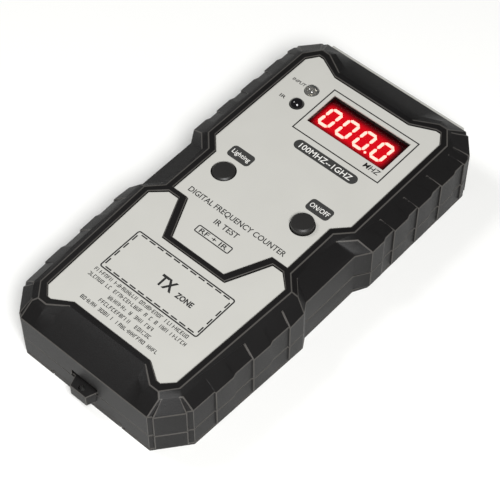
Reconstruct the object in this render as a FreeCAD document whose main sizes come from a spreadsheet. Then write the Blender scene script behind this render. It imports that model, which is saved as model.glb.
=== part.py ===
import FreeCAD, Part
import math
import os
import re
import Sketcher

# Hand-held frequency counter. Millimetres, +Z up through the label, +Y towards the display end.
# The origin is at the middle of the face that the counter rests on.

SIZES = {
    # case outline at the shoulder, where the walls end and the bevel starts (X from the middle)
    "half_length": 75.6, "near_wall_half": 26.9, "near_corner_run": 10.8,
    "grip_end_half": 35.6, "grip_top_half": 37.6, "grip_top_y": 16.4,
    "waist_half": 35.4, "waist_near_y": 12.9, "waist_far_y": 10.9,
    "head_start_y": 15.9, "head_half": 38.0, "far_wall_half": 30.2, "far_corner_run": 9.1,
    # heights
    "parting_z": 9.2, "lip_z": 1.4, "bevel_rise": 3.6, "crest_rise": 1.2,
    "floor_thick": 2.6, "roof_thick": 2.0, "wall": 2.3, "groove": 0.3, "groove_deep": 0.5,
    "haunch": 1.0, "roof_inset": 0.5,
    # bevel between the shoulder and the rim, and the rim round the labels
    "bevel_end": 7.5, "bevel_tip": 4.4, "bevel_side": 4.0, "bevel_head": 4.5, "bevel_waist": 6.6,
    "bevel_fall": 1.0, "waist_ease": 1.6, "bevel_corner": 2.5, "notch_half": 16.0,
    "rim": 2.2, "rim_end": 3.7, "rim_tip": 2.5, "rim_corner": 1.0, "tip_narrow": 1.5,
    # raised armour plates on the walls
    "armour_step": 0.6, "grip_plates": 3, "head_periods": 4.15,
    # labels and the ridge between them
    "label_thick": 0.4, "label_sunk": 0.7, "label_gap": 0.2, "ridge": 2.0,
    "tongue_y": 24.1, "tongue_half": 11.1, "tongue_top_half": 18.0, "tongue_top_y": 9.2,
    # display
    "window_x": 5.45, "window_y": 48.7, "window_wide": 32.6, "window_high": 14.7,
    "filter_thick": 1.5, "filter_lap": 1.2, "filter_sunk": 0.4,
    "module_wide": 30.1, "module_high": 13.9, "module_tall": 7.0, "module_gap": 0.2,
    "digit_wide": 4.1, "digit_high": 7.65, "digit_pitch": 7.4, "digit_point": 3.3, "digit_slant": 0.06,
    "segment": 1.1, "segment_thick": 0.15, "segment_gap": 0.15, "digits_aside": 1.7, "digits_up": 1.0,
    # push buttons and their latching switches
    "button_x": 16.85, "button_y": 6.8, "cap_radius": 3.9, "cap_gap": 0.4, "cap_proud": 2.2,
    "cap_crown": 0.5, "flange_lap": 0.6, "flange_thick": 0.7, "button_travel": 1.9,
    "latched_drop": 1.7, "switch_size": 8.0, "switch_tall": 5.0, "plunger_radius": 1.5,
    "slide_fit": 0.05, "plunger_seat": 2.4, "moving_gap": 0.3,
    # indicator, receiver and torch lamps
    "lamp_x": 18.0, "receiver_y": 44.6, "input_y": 52.4, "lamp_radius": 2.5, "lamp_tall": 8.6,
    "lamp_brim": 0.4, "lamp_flange_thick": 1.0, "lamp_proud": 1.9, "lamp_hole_fit": 0.12,
    "lead_wire": 0.5, "lead_spread": 1.27, "torch_x": 8.0, "torch_lift": 0.3,
    # circuit board and what stands on it
    "board_thick": 1.6, "board_side": 3.1, "board_near_y": 9.0, "board_beyond": 9.3,
    "board_screw_in_x": 3.0, "board_screw_in_y": 4.0,
    "board_boss": 3.0, "board_screw": 1.1, "board_screw_head": 2.2, "board_screw_long": 6.5,
    "head_thick": 1.5, "contact": 0.02,
    "coil_y": 3.0, "coil_core": 2.6, "coil_outer": 3.6, "core_long": 36.0, "coil_long": 24.0,
    "coil_clear": 0.3, "clip_wide": 2.4,
    "pin_pitch": 2.54, "pin_rows": 10.16, "pin_radius": 0.25,
    "chip_y": 27.0, "chip_pitch": 1.27, "chip_leg": 1.4, "chip_lift": 0.2,
    "micro_wide": 18.0, "micro_deep": 7.5, "micro_tall": 2.5,
    "prescaler_y": 12.5, "scaler_wide": 5.0, "scaler_deep": 4.0, "scaler_tall": 1.7,
    "crystal_x": 16.5, "crystal_wide": 4.6, "crystal_deep": 4.5, "crystal_tall": 3.6,
    "resistor_x": 21.0, "resistor_wide": 1.6, "resistor_long": 3.2, "resistor_tall": 0.6,
    "resistor_pitch": 2.6,
    "capacitor_x": 25.0, "capacitor_radius": 2.5, "capacitor_tall": 7.0, "capacitor_pitch": 8.0,
    "regulator_radius": 2.4, "regulator_lift": 2.0, "regulator_tall": 4.6,
    # case screws, from the underside into the top case
    "case_screw_in_x": 8.6, "case_screw_in_y": 3.0,
    "case_boss": 3.4, "case_screw": 1.3, "case_screw_head": 2.6, "case_screw_long": 14.0,
    "head_well": 2.9, "head_depth": 2.2,
    # 9 volt battery, its snap and its leads
    "battery_wide": 26.5, "battery_long": 48.5, "battery_tall": 17.5, "battery_end": 3.5,
    "battery_corner": 2.0, "post_radius": 2.9, "post_tall": 2.6, "post_spread": 6.35, "post_fit": 0.05,
    "snap_wide": 25.0, "snap_tall": 13.4, "snap_thick": 4.4, "snap_stand": 0.4,
    "wire_radius": 0.6, "wire_bend": 3.6, "wire_x": 9.6,
    # battery door, which slides off towards the near end
    "door_side": 1.25, "door_thick": 1.8, "door_end": 2.3, "rail": 1.2, "rail_low": 0.8,
    "rail_thick": 0.6, "grip_rib": 1.0, "grip_rib_half": 7.0, "grip_rib_deep": 0.5, "door_pad_thick": 0.5,
    "rib": 1.5, "pad_margin": 4.0, "pad_thick": 1.2,
    # end panel and lanyard lug
    "panel_half": 27.0, "panel_low": 3.2, "panel_under": 2.0, "panel_thick": 1.2, "panel_lap": 1.6,
    "lug_half": 5.0, "lug_tip_half": 3.4, "lug_proud": 3.2, "lug_low": 4.6,
    "lug_hole": 1.1, "lug_hole_out": 1.35, "recess_half": 5.6, "recess_above": 3.2, "recess_deep": 1.1,
}

# sizes that follow from the others
LINKED = {
    "grip_end": "half_length - near_corner_run",
    "head_end": "half_length - far_corner_run",
    "roof_z": "floor_thick + battery_tall + pad_thick",
    "label_floor": "roof_z + roof_thick",
    "label_top": "label_floor + label_thick",
    "crest_z": "label_top + label_sunk",
    "bevel_z": "crest_z - crest_rise",
    "shoulder_z": "bevel_z - bevel_rise",
    "board_top": "roof_z + filter_sunk - filter_thick - module_gap - module_tall",
    "board_z": "board_top - board_thick",
    "board_half": "waist_half - wall - board_side",
    "board_far_y": "window_y + board_beyond",
    "module_x": "window_x - digits_aside",
    "module_y": "window_y + digits_up",
    "cap_top": "label_top + cap_proud",
    "cap_low": "roof_z - moving_gap - flange_thick",
    "flange_radius": "cap_radius + cap_gap + flange_lap",
    "lamp_flange": "lamp_radius + lamp_brim",
    "torch_z": "board_top + torch_lift",
    "panel_top": "shoulder_z - panel_under",
    "lug_end": "half_length + lug_proud",
    "battery_near": "half_length - wall - battery_end",
    "battery_far": "battery_near - battery_long",
    "snap_far": "battery_far - snap_stand - snap_thick",
    "post_z": "floor_thick + battery_tall/2",
    "door_half": "battery_wide/2 + door_side",
    "door_far": "battery_far - door_end",
}


# ---------------------------------------------------------------- document helpers

def make_sheet(document):
    """Put every driving size in a spreadsheet cell with an alias."""
    sheet = document.addObject("Spreadsheet::Sheet", "Sizes")
    for row, (alias, number) in enumerate(SIZES.items(), start=1):
        sheet.set(f"A{row}", alias)
        sheet.set(f"B{row}", str(number))
        sheet.setAlias(f"B{row}", alias)
    document.recompute()
    return sheet


doc = FreeCAD.newDocument("frequency_counter")
sizes = make_sheet(doc)
parts = []


def spelled(text):
    """The expression with each linked size written out."""
    def swap(word):
        name = word[0]
        return f"({spelled(LINKED[name])})" if name in LINKED else name
    return re.sub(r"[a-z]\w*", swap, str(text))


def value(text):
    """The present value of an expression written with the names of sizes."""
    return float(sizes.evalExpression(spelled(text)))


def bound(text):
    """The same expression, with each cell's alias written as the document needs it."""
    return re.sub(r"[a-z]\w*", lambda word: f"Sizes.{word[0]}", spelled(text))


def bind(thing, prop, text):
    """Bind a property to an expression of the sheet."""
    thing.setExpression(prop, bound(text))


def new_part(label, place=("0", "0", "0")):
    """A body for one sub-part, with its own place in the counter."""
    body = doc.addObject("PartDesign::Body", label)
    body.Label = label
    for axis, text in zip("xyz", place):
        bind(body, f"Placement.Base.{axis}", text)
    parts.append(body)
    return body


def origin_plane(body, role):
    return next(item for item in body.Origin.OriginFeatures if item.Role == role)


# ---------------------------------------------------------------- sketch helpers

def pin(sketch, geometry, corner, x, y):
    """Hold a point of the sketch at (x, y) with two bound dimensions."""
    first = sketch.addConstraint([
        Sketcher.Constraint("DistanceX", -1, 1, geometry, corner, value(x)),
        Sketcher.Constraint("DistanceY", -1, 1, geometry, corner, value(y)),
    ])[0]
    bind(sketch, f"Constraints[{first}]", x)
    bind(sketch, f"Constraints[{first + 1}]", y)


def polygon(points):
    """Draws a closed outline of straight lines."""
    def draw(sketch):
        places = [FreeCAD.Vector(value(x), value(y), 0) for x, y in points]
        following = places[1:] + places[:1]
        first = sketch.GeometryCount
        sketch.addGeometry([Part.LineSegment(*ends) for ends in zip(places, following)], False)
        count = len(points)
        sketch.addConstraint([
            Sketcher.Constraint("Coincident", first + index, 2, first + (index + 1) % count, 1)
            for index in range(count)
        ])
        for index, (x, y) in enumerate(points):
            pin(sketch, first + index, 1, x, y)
    return draw


def rectangle(left, low, right, high):
    return polygon([(left, low), (right, low), (right, high), (left, high)])


def centred(x, y, wide, high):
    """Draws a rectangle about a centre."""
    return rectangle(f"{x} - {wide}/2", f"{y} - {high}/2", f"{x} + {wide}/2", f"{y} + {high}/2")


def disc(x, y, radius):
    """Draws a circle."""
    def draw(sketch):
        place = FreeCAD.Vector(value(x), value(y), 0)
        circle = sketch.addGeometry(Part.Circle(place, FreeCAD.Vector(0, 0, 1), value(radius)), False)
        pin(sketch, circle, 3, x, y)
        index = sketch.addConstraint(Sketcher.Constraint("Radius", circle, value(radius)))
        bind(sketch, f"Constraints[{index}]", radius)
    return draw


def make_sketch(body, drawings, level="0", plane="XY_Plane"):
    """A sketch on one of the body's own planes, moved along the plane's normal."""
    sketch = body.newObject("Sketcher::SketchObject", body.Label + "_sketch")
    sketch.AttachmentSupport = [(origin_plane(body, plane), "")]
    sketch.MapMode = "FlatFace"
    bind(sketch, ".AttachmentOffset.Base.z", level)
    for draw in drawings:
        draw(sketch)
    return sketch


# ---------------------------------------------------------------- feature helpers

def finish(body, feature, sign):
    """Recompute, and make sure that the feature added or removed material."""
    before = body.Shape.Volume if not body.Shape.isNull() else 0.0
    doc.recompute()
    after = body.Shape.Volume
    if (after - before) * sign <= 0:
        raise ValueError(f"{feature.Name} of {body.Label} changed nothing")
    return feature


def extrude(body, kind, drawings, start, stop, plane, sign):
    """A pad or a pocket between two levels along the plane's axis."""
    turned = plane == "XZ_Plane"
    level = f"-({stop})" if turned else start
    sketch = make_sketch(body, drawings, level, plane)
    feature = body.newObject(kind, body.Label + "_feature")
    feature.Profile = sketch
    feature.Reversed = sign < 0
    bind(feature, "Length", f"({stop}) - ({start})")
    return finish(body, feature, sign)


def add(body, drawings, start, stop, plane="XY_Plane"):
    return extrude(body, "PartDesign::Pad", drawings, start, stop, plane, 1)


def cut(body, drawings, start, stop, plane="XY_Plane"):
    return extrude(body, "PartDesign::Pocket", drawings, start, stop, plane, -1)


def loft(body, kind, low, high, start, stop, sign):
    """A ruled loft between two outlines."""
    feature = body.newObject(kind, body.Label + "_loft")
    feature.Profile = make_sketch(body, [polygon(low)], start)
    feature.Sections = [make_sketch(body, [polygon(high)], stop)]
    feature.Ruled = True
    return finish(body, feature, sign)


def turn(body, points, plane="XZ_Plane"):
    """A solid of revolution about the body's own upright axis."""
    feature = body.newObject("PartDesign::Revolution", body.Label + "_turned")
    sketch = make_sketch(body, [polygon(points)], "0", plane)
    feature.Profile = sketch
    feature.ReferenceAxis = (sketch, ["V_Axis"])
    feature.Angle = 360
    return finish(body, feature, 1)


def mirror_half(body):
    """Copy the right half of the body to the left."""
    feature = body.newObject("PartDesign::Mirrored", body.Label + "_mirrored")
    feature.TransformMode = "Whole shape"
    feature.MirrorPlane = (origin_plane(body, "YZ_Plane"), [""])
    body.Tip = feature
    return finish(body, feature, 1)


def repeat(body, feature, pitch, count):
    """Copies of a feature in a row along X."""
    row = body.newObject("PartDesign::LinearPattern", body.Label + "_row")
    row.Originals = [feature]
    row.Direction = (origin_plane(body, "X_Axis"), [""])
    row.Occurrences = count
    bind(row, "Length", f"{pitch}*{count - 1}")
    body.Tip = row
    return finish(body, row, 1)


def round_edges(body, radius, direction):
    """Round every straight edge of the body that runs in one direction."""
    base = body.Tip
    names = []
    for number, edge in enumerate(base.Shape.Edges, start=1):
        run = edge.Vertexes[-1].Point - edge.Vertexes[0].Point
        if run.Length > 0 and abs(run.normalize().dot(direction)) > 0.999:
            names.append(f"Edge{number}")
    feature = body.newObject("PartDesign::Fillet", body.Label + "_rounding")
    feature.Base = (base, names)
    bind(feature, "Radius", radius)
    return finish(body, feature, -1)


# ---------------------------------------------------------------- case outlines (right half)

def shoulder_line(inset="0"):
    """Main corners of the case at the shoulder, from the near end to the far end."""
    i = inset
    return [
        ("0", f"-(half_length - {i})"),
        ("notch_half", f"-(half_length - {i})"),
        ("(notch_half + near_wall_half)/2", f"-(half_length - {i})"),
        (f"near_wall_half - {i}/2", f"-(half_length - {i})"),
        (f"grip_end_half - {i}", f"-(grip_end - {i}/2)"),
        (f"grip_top_half - {i}", f"-(grip_top_y + {i}/2)"),
        (f"waist_half - {i}", f"-(waist_near_y + {i}/2)"),
        (f"waist_half - {i}", f"waist_far_y + {i}/2"),
        (f"head_half - {i}", f"head_start_y + {i}/2"),
        (f"head_half - {i}", f"head_end - {i}/2"),
        (f"far_wall_half - {i}/2", f"half_length - {i}"),
        ("(notch_half + far_wall_half)/2", f"half_length - {i}"),
        ("notch_half", f"half_length - {i}"),
        ("0", f"half_length - {i}"),
    ]


def bevel_line(inset="0"):
    """Main corners of the upper edge of the bevel."""
    i = inset
    tip = f"(half_length - bevel_tip - {i})"
    end = f"(half_length - bevel_end - {i})"
    return [
        ("0", f"-{end}"),
        ("notch_half", f"-{end}"),
        ("(notch_half + near_wall_half)/2", f"-{tip}"),
        (f"near_wall_half - {i}", f"-({tip} - bevel_fall)"),
        (f"grip_end_half - bevel_side - {i}", "-grip_end"),
        (f"grip_top_half - bevel_side - {i}", "-(grip_top_y - waist_ease)"),
        (f"waist_half - bevel_waist - {i}", "-(waist_near_y - 2*waist_ease)"),
        (f"waist_half - bevel_waist - {i}", "waist_far_y - waist_ease"),
        (f"head_half - bevel_head - {i}", "head_start_y - waist_ease"),
        (f"head_half - bevel_head - {i}", "head_end - bevel_corner"),
        (f"far_wall_half - bevel_corner - {i}", f"{tip} - bevel_fall"),
        ("(notch_half + far_wall_half)/2", tip),
        ("notch_half", end),
        ("0", end),
    ]


def rim_line(steps):
    """Rim corners: one step in from the bevel is the crest, two steps in is the label's edge."""
    k = steps
    tip = f"(half_length - bevel_tip - {k}*rim_tip)"
    end = f"(half_length - bevel_end - rim_end - {k - 1}*rim)"
    return [
        ("0", f"-{end}"),
        ("notch_half", f"-{end}"),
        (f"(notch_half + near_wall_half)/2 + {k}*rim_tip/6", f"-{tip}"),
        (f"near_wall_half - {k}*tip_narrow", f"-{tip}"),
        (f"grip_end_half - bevel_side - {k}*rim", f"-(grip_end - {k}*rim_corner)"),
        (f"grip_top_half - bevel_side - {k}*rim", f"-(grip_top_y - waist_ease + {k}*rim_corner/2)"),
        (f"waist_half - bevel_waist - {k}*rim", f"-(waist_near_y - 2*waist_ease + {k}*rim_corner/2)"),
        (f"waist_half - bevel_waist - {k}*rim", f"waist_far_y - waist_ease + {k}*rim_corner"),
        (f"head_half - bevel_head - {k}*rim", f"head_start_y - waist_ease + {k}*rim_corner"),
        (f"head_half - bevel_head - {k}*rim", f"head_end - bevel_corner - {k}*rim_corner"),
        (f"far_wall_half - bevel_corner - {k}*tip_narrow/2", tip),
        (f"(notch_half + far_wall_half)/2 + {k}*rim_tip/4", tip),
        ("notch_half", end),
        ("0", end),
    ]


def along(start, stop, share, out=("0", "0")):
    """A point part of the way from one corner to another, moved outwards by out."""
    return tuple(f"{a} + (({b}) - ({a}))*{share} + {o}" for a, b, o in zip(start, stop, out))


def armoured(line, step):
    """The outline with raised plates: the corner facets, three on the grip and five on the head."""
    corner = (f"0.78*{step}", f"0.63*{step}")
    near_out = (corner[0], f"-{corner[1]}")
    side = (step, "0")
    near, end, top = line[3], line[4], line[5]
    start, finish_point, far = line[8], line[9], line[10]
    points = line[:4]
    points += [along(near, end, share, out) for share, out in bumper(near_out)]
    points.append(end)
    for plate in range(2):
        points += [along(end, top, f"({plate} + {share})/grip_plates", out)
                   for share, out in raised_plate(side)]
    points += [along(end, top, f"(2 + {share})/grip_plates", out)
               for share, out in raised_plate(side)[:2]]
    points += line[5:8]
    points.append(along(start, start, "0", side))
    points += [along(start, finish_point, f"{share}/head_periods", out)
               for share, out in first_head_plate(side)]
    for plate in range(3):
        points += [along(start, finish_point, f"({plate} + {share})/head_periods", out)
                   for share, out in head_plate(side)]
    points += [along(start, finish_point, f"(3 + {share})/head_periods", out)
               for share, out in head_plate(side)[:2]]
    points.append(finish_point)
    points += [along(finish_point, far, share, out) for share, out in bumper(corner)]
    return points + line[10:]


def bumper(out):
    """Shares of a corner facet where its raised plate starts and ends."""
    level = ("0", "0")
    return [(0.1, level), (0.12, out), (0.86, out), (0.88, level)]


def raised_plate(out):
    """A grip plate: a step at its near edge and a slanted return at its far edge."""
    level = ("0", "0")
    return [(0.555, level), (0.57, out), (1.03, out), (1.13, level)]


def first_head_plate(out):
    return [(0.48, out), (0.6, ("0", "0"))]


def head_plate(out):
    level = ("0", "0")
    return [(0.91, level), (0.925, out), (1.47, out), (1.6, level)]


def label_upper(gap):
    """The upper label's outline, right half, from the tongue's foot to the far edge."""
    edge = rim_line(2)
    tongue = [
        ("0", f"-(tongue_y - {gap})"),
        (f"tongue_half - {gap}", f"-(tongue_y - {gap})"),
        (f"tongue_top_half - {gap}", f"-(tongue_top_y - {gap})"),
        (f"{edge[6][0]} - {gap}", f"-(tongue_top_y - {gap})"),
    ]
    sides = [(f"{x} - {gap}", y) for x, y in edge[7:10]]
    far = [(x, f"{y} - {gap}") for x, y in edge[10:]]
    return tongue + sides + far


def label_lower(gap):
    """The lower label's outline, right half, from the near edge to the ridge."""
    edge = rim_line(2)
    near = [(x, f"{y} + {gap}") for x, y in edge[:4]]
    sides = [(f"{x} - {gap}", y) for x, y in edge[4:6]]
    notch = [
        (f"{edge[6][0]} - {gap}", f"-(tongue_top_y + ridge + {gap})"),
        (f"tongue_top_half + ridge + {gap}", f"-(tongue_top_y + ridge + {gap})"),
        (f"tongue_half + ridge + {gap}", f"-(tongue_y + ridge + {gap})"),
        ("0", f"-(tongue_y + ridge + {gap})"),
    ]
    return near + sides + notch


def both_sides(half):
    """A full outline from its right half, whose first and last points are on the middle line."""
    return half + [(f"-({x})", y) for x, y in half[-2:0:-1]]


# ---------------------------------------------------------------- shared places

CASE_SCREWS = [
    (f"{side}({wide} - case_screw_in_x)", f"{end}({long} - case_screw_in_y)")
    for wide, long, end in (("grip_end_half", "grip_end", "-"), ("head_half", "head_end", ""))
    for side in ("", "-")
]
BOARD_SCREWS = [
    (f"{side}(board_half - board_screw_in_x)", f"{end}({long} - board_screw_in_y)")
    for long, end in (("board_near_y", "-"), ("board_far_y", ""))
    for side in ("", "-")
]
BUTTONS = [("button_x", "button_y"), ("-button_x", "button_y")]
LAMPS = [("-lamp_x", "receiver_y"), ("-lamp_x", "input_y")]
TORCHES = [("torch_x", "torch_z"), ("-torch_x", "torch_z")]


def discs(places, radius):
    return [disc(x, y, radius) for x, y in places]


def module_pins():
    """Two rows of six pins under the display module."""
    return [
        (f"module_x + pin_pitch*({column} - 2.5)", f"module_y {row} pin_rows/2")
        for row in "+-" for column in range(6)
    ]


def lug_outline():
    """The lanyard lug, seen from above."""
    root = "-(half_length - recess_deep)"
    tip = "-lug_end"
    return [("lug_half", root), ("lug_tip_half", tip), ("-lug_tip_half", tip), ("-lug_half", root)]


# ---------------------------------------------------------------- casings

def hollow_case(body, low, high):
    """The room inside the walls."""
    cut(body, [polygon(shoulder_line("wall"))], low, high)


def panel_opening(body, low, high):
    """The opening in the far wall that the end panel plugs."""
    edge = "(panel_half + contact)"
    cut(body, [rectangle(f"-{edge}", low, edge, high)],
        "half_length - wall - contact", "half_length + wall", "XZ_Plane")


def cut_lug_recess(body):
    """The shallow hollow in the top case over the lanyard lug."""
    cut(body, [rectangle("-recess_half", "parting_z - 1", "recess_half", "parting_z + recess_above")],
        "-(half_length + wall)", "-(half_length - recess_deep)", "XZ_Plane")


def add_lug(body):
    """The lanyard lug with its eye, on the near wall of the bottom case."""
    add(body, [polygon(lug_outline())], "lug_low", "parting_z")
    cut(body, [disc("0", "-(half_length + lug_hole_out)", "lug_hole")], "lug_low", "parting_z")


def make_top_case():
    body = new_part("top_case")
    plated = armoured(shoulder_line(), "armour_step")
    add(body, [polygon(plated)], "parting_z", "shoulder_z")
    loft(body, "PartDesign::AdditiveLoft", plated, armoured(bevel_line(), "0"), "shoulder_z", "bevel_z", 1)
    loft(body, "PartDesign::AdditiveLoft", bevel_line(), rim_line(1), "bevel_z", "crest_z", 1)
    hollow_case(body, "parting_z", "shoulder_z - haunch")
    loft(body, "PartDesign::SubtractiveLoft", shoulder_line("wall"), bevel_line("roof_inset"),
         "shoulder_z - haunch", "roof_z", -1)
    cut(body, [polygon(label_upper("0"))], "label_floor", "crest_z + 1")
    cut(body, [polygon(label_lower("0"))], "label_floor", "crest_z + 1")
    mirror_half(body)
    add(body, discs(CASE_SCREWS, "case_boss"), "parting_z", "roof_z + contact")
    add(body, discs(BOARD_SCREWS, "board_boss"), "board_top", "roof_z + contact")
    cut(body, discs(CASE_SCREWS, "case_screw + contact"),
        "parting_z", "head_depth + case_screw_long + contact")
    cut(body, discs(BOARD_SCREWS, "board_screw + contact"),
        "board_top", "board_z + board_screw_long + contact")
    cut(body, discs(BUTTONS, "cap_radius + cap_gap"), "roof_z", "crest_z")
    cut(body, discs(LAMPS, "lamp_radius + lamp_hole_fit"), "roof_z", "crest_z")
    cut(body, [centred("window_x", "window_y", "window_wide", "window_high")], "roof_z", "crest_z")
    lap = "2*(filter_lap + contact)"
    cut(body, [centred("window_x", "window_y", f"(window_wide + {lap})", f"(window_high + {lap})")],
        "roof_z", "roof_z + filter_sunk")
    panel_opening(body, "parting_z - 1", "panel_top + contact")
    cut_lug_recess(body)
    return body


def make_bottom_case():
    body = new_part("bottom_case")
    add(body, [polygon(shoulder_line())], "0", "lip_z - groove")
    add(body, [polygon(shoulder_line("groove_deep"))], "lip_z - groove", "lip_z")
    add(body, [polygon(armoured(shoulder_line(), "armour_step"))], "lip_z", "parting_z - groove")
    add(body, [polygon(shoulder_line("groove_deep"))], "parting_z - groove", "parting_z")
    hollow_case(body, "floor_thick", "parting_z")
    mirror_half(body)
    add(body, discs(CASE_SCREWS, "case_boss"), "floor_thick - contact", "parting_z")
    add_battery_walls(body)
    cut_door_way(body)
    cut(body, discs(CASE_SCREWS, "case_screw + moving_gap"), "0", "parting_z")
    cut(body, discs(CASE_SCREWS, "head_well"), "0", "head_depth")
    panel_opening(body, "panel_low - contact", "parting_z + 1")
    add_lug(body)
    return body


def add_battery_walls(body):
    """Two long ribs and a cross rib that keep the battery and its snap in place."""
    inner = "(door_half + moving_gap)"
    near = "-(half_length - wall + contact)"
    cross = "-(snap_far - moving_gap)"
    far = f"{cross} + rib"
    walls = [
        rectangle(inner, near, f"{inner} + rib", far),
        rectangle(f"-({inner} + rib)", near, f"-{inner}", far),
    ]
    add(body, walls, "floor_thick - contact", "parting_z")
    add(body, [rectangle(f"-({inner} + contact)", cross, f"{inner} + contact", far)],
        "floor_thick - contact", "parting_z")


def cut_door_way(body):
    """The door's opening, its slot under the near wall and the grooves for its rails."""
    side = "(door_half + moving_gap)"
    far = "-(door_far - moving_gap)"
    cut(body, [rectangle(f"-{side}", "-(half_length - wall)", side, far)], "0", "floor_thick")
    cut(body, [rectangle(f"-{side}", "-(half_length + wall)", side, far)],
        "0", "door_thick + door_pad_thick + moving_gap")
    cut(body, [rectangle(f"-({side} + rail)", "-(half_length + wall)", f"{side} + rail", f"{far} + rail")],
        "rail_low - moving_gap", "rail_low + rail_thick + moving_gap")


def make_end_panel():
    body = new_part("end_panel")
    outer = "(panel_half + panel_lap)"
    add(body, [rectangle(f"-{outer}", "panel_low - panel_lap", outer, "panel_top + panel_lap")],
        "half_length", "half_length + panel_thick", "XZ_Plane")
    add(body, [rectangle("-panel_half", "panel_low", "panel_half", "panel_top")],
        "half_length - wall", "half_length", "XZ_Plane")
    cut(body, discs(TORCHES, "lamp_radius + lamp_hole_fit"),
        "half_length - wall", "half_length + panel_thick", "XZ_Plane")


def make_battery_door():
    body = new_part("battery_door")
    near = "-half_length"
    add(body, [rectangle("-door_half", near, "door_half", "-door_far")], "0", "door_thick")
    add(body, [rectangle("-(door_half + rail)", near, "door_half + rail", "-(door_far - rail)")],
        "rail_low", "rail_low + rail_thick")
    add(body, [rectangle("-door_half", near, "door_half", "-(half_length - wall)")],
        "door_thick", "door_thick + door_pad_thick")
    ribs = [
        rectangle("-grip_rib_half", f"{near} + grip_rib*{line}",
                  "grip_rib_half", f"{near} + grip_rib*{line + 1}")
        for line in range(5, 15, 2)
    ]
    cut(body, ribs, "0", "grip_rib_deep")


# ---------------------------------------------------------------- labels and display

def make_upper_label():
    body = new_part("upper_label")
    add(body, [polygon(both_sides(label_upper("label_gap")))], "label_floor", "label_top")
    cut(body, [centred("window_x", "window_y", "window_wide", "window_high")], "label_floor", "label_top")
    cut(body, discs(BUTTONS, "cap_radius + cap_gap"), "label_floor", "label_top")
    cut(body, discs(LAMPS, "lamp_radius + lamp_hole_fit"), "label_floor", "label_top")


def make_lower_label():
    body = new_part("lower_label")
    add(body, [polygon(both_sides(label_lower("label_gap")))], "label_floor", "label_top")


def make_display_window():
    body = new_part("display_window")
    top = "(roof_z + filter_sunk)"
    wide = "(window_wide + 2*filter_lap)"
    high = "(window_high + 2*filter_lap)"
    add(body, [centred("window_x", "window_y", wide, high)], f"{top} - filter_thick", top)


def make_display_module():
    body = new_part("display_module")
    add(body, [centred("module_x", "module_y", "module_wide", "module_high")],
        "board_top", "board_top + module_tall")
    add(body, discs(module_pins(), "pin_radius"), "board_z - pin_radius", "board_top")


def segment_bar(x, y, along_x, long):
    """One segment of a digit: a bar with pointed ends, leaning with the digit."""
    half = f"({long}/2 - segment_gap)"
    wide = "(segment/2)"
    ends = [(f"-{half}", "0"), (f"-({half} - {wide})", wide), (f"{half} - {wide}", wide),
            (half, "0"), (f"{half} - {wide}", f"-{wide}"), (f"-({half} - {wide})", f"-{wide}")]
    turned = ends if along_x else [(b, f"-({a})") for a, b in ends]
    return polygon([
        (f"{x} + ({a}) + digit_slant*({y} + ({b}))", f"{y} + ({b})") for a, b in turned
    ])


def make_display_digits():
    """Four zeros, with the point after the third one."""
    left = "module_x - 1.5*digit_pitch"
    body = new_part("display_digits", (left, "module_y", "board_top + module_tall"))
    side = "(digit_wide/2)"
    rise = "(digit_high/4)"
    bars = [segment_bar("0", f"{sign}digit_high/2", True, "digit_wide") for sign in ("", "-")]
    bars += [
        segment_bar(f"{right}{side}", f"{up}{rise}", False, "(digit_high/2)")
        for right in ("", "-") for up in ("", "-")
    ]
    zero = add(body, bars, "0", "segment_thick")
    repeat(body, zero, "digit_pitch", 4)
    add(body, [disc("2*digit_pitch + digit_point", "-digit_high/2", "segment*0.4")], "0", "segment_thick")


# ---------------------------------------------------------------- push buttons

def make_button(name, side, drop):
    """A cap, its plunger and the latching switch under it; drop is how far in the button rests."""
    x = f"{side}button_x"
    cap = new_part(f"{name}_cap", (x, "button_y", f"cap_low - {drop}"))
    tall = "(cap_top - cap_low)"
    turn(cap, [
        ("plunger_radius", "0"), ("flange_radius", "0"), ("flange_radius", "flange_thick"),
        ("cap_radius", "flange_thick"), ("cap_radius", f"{tall} - cap_crown"),
        ("cap_radius - cap_crown", tall), ("0", tall),
        ("0", "plunger_seat"), ("plunger_radius", "plunger_seat"),
    ])
    make_plunger(name, x, drop)
    make_switch(name, x)


def make_plunger(name, x, drop):
    """The switch's plunger, seated in the cap; fully in, it stops just above the switch's floor."""
    low = "board_top + 2*moving_gap + button_travel"
    body = new_part(f"{name}_plunger", (x, "button_y", f"-{drop}"))
    add(body, [disc("0", "0", "plunger_radius")], low, "cap_low + plunger_seat")


def make_switch(name, x):
    body = new_part(f"{name}_switch", (x, "button_y", "board_top"))
    add(body, [centred("0", "0", "switch_size", "switch_size")], "0", "switch_tall")
    cut(body, [disc("0", "0", "plunger_radius + slide_fit")], "moving_gap", "switch_tall")


# ---------------------------------------------------------------- lamps

def make_lamp(label, place, leg_long):
    """A domed 5 mm lamp on two legs, upright on its own origin, which is under its flange."""
    body = new_part(label, place)
    turn(body, [
        ("0", "0"), ("lamp_flange", "0"), ("lamp_flange", "lamp_flange_thick"),
        ("lamp_radius", "lamp_flange_thick"),
        ("lamp_radius", "lamp_tall - lamp_radius"), ("0", "lamp_tall - lamp_radius"),
    ])
    dome = body.newObject("PartDesign::AdditiveSphere", label + "_dome")
    dome.AttachmentSupport = [(origin_plane(body, "XY_Plane"), "")]
    dome.MapMode = "FlatFace"
    bind(dome, ".AttachmentOffset.Base.z", "lamp_tall - lamp_radius")
    bind(dome, "Radius", "lamp_radius")
    finish(body, dome, 1)
    legs = [centred(f"{side}lead_spread", "0", "lead_wire", "lead_wire") for side in ("", "-")]
    add(body, legs, f"-({leg_long})", "0")
    return body


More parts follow.
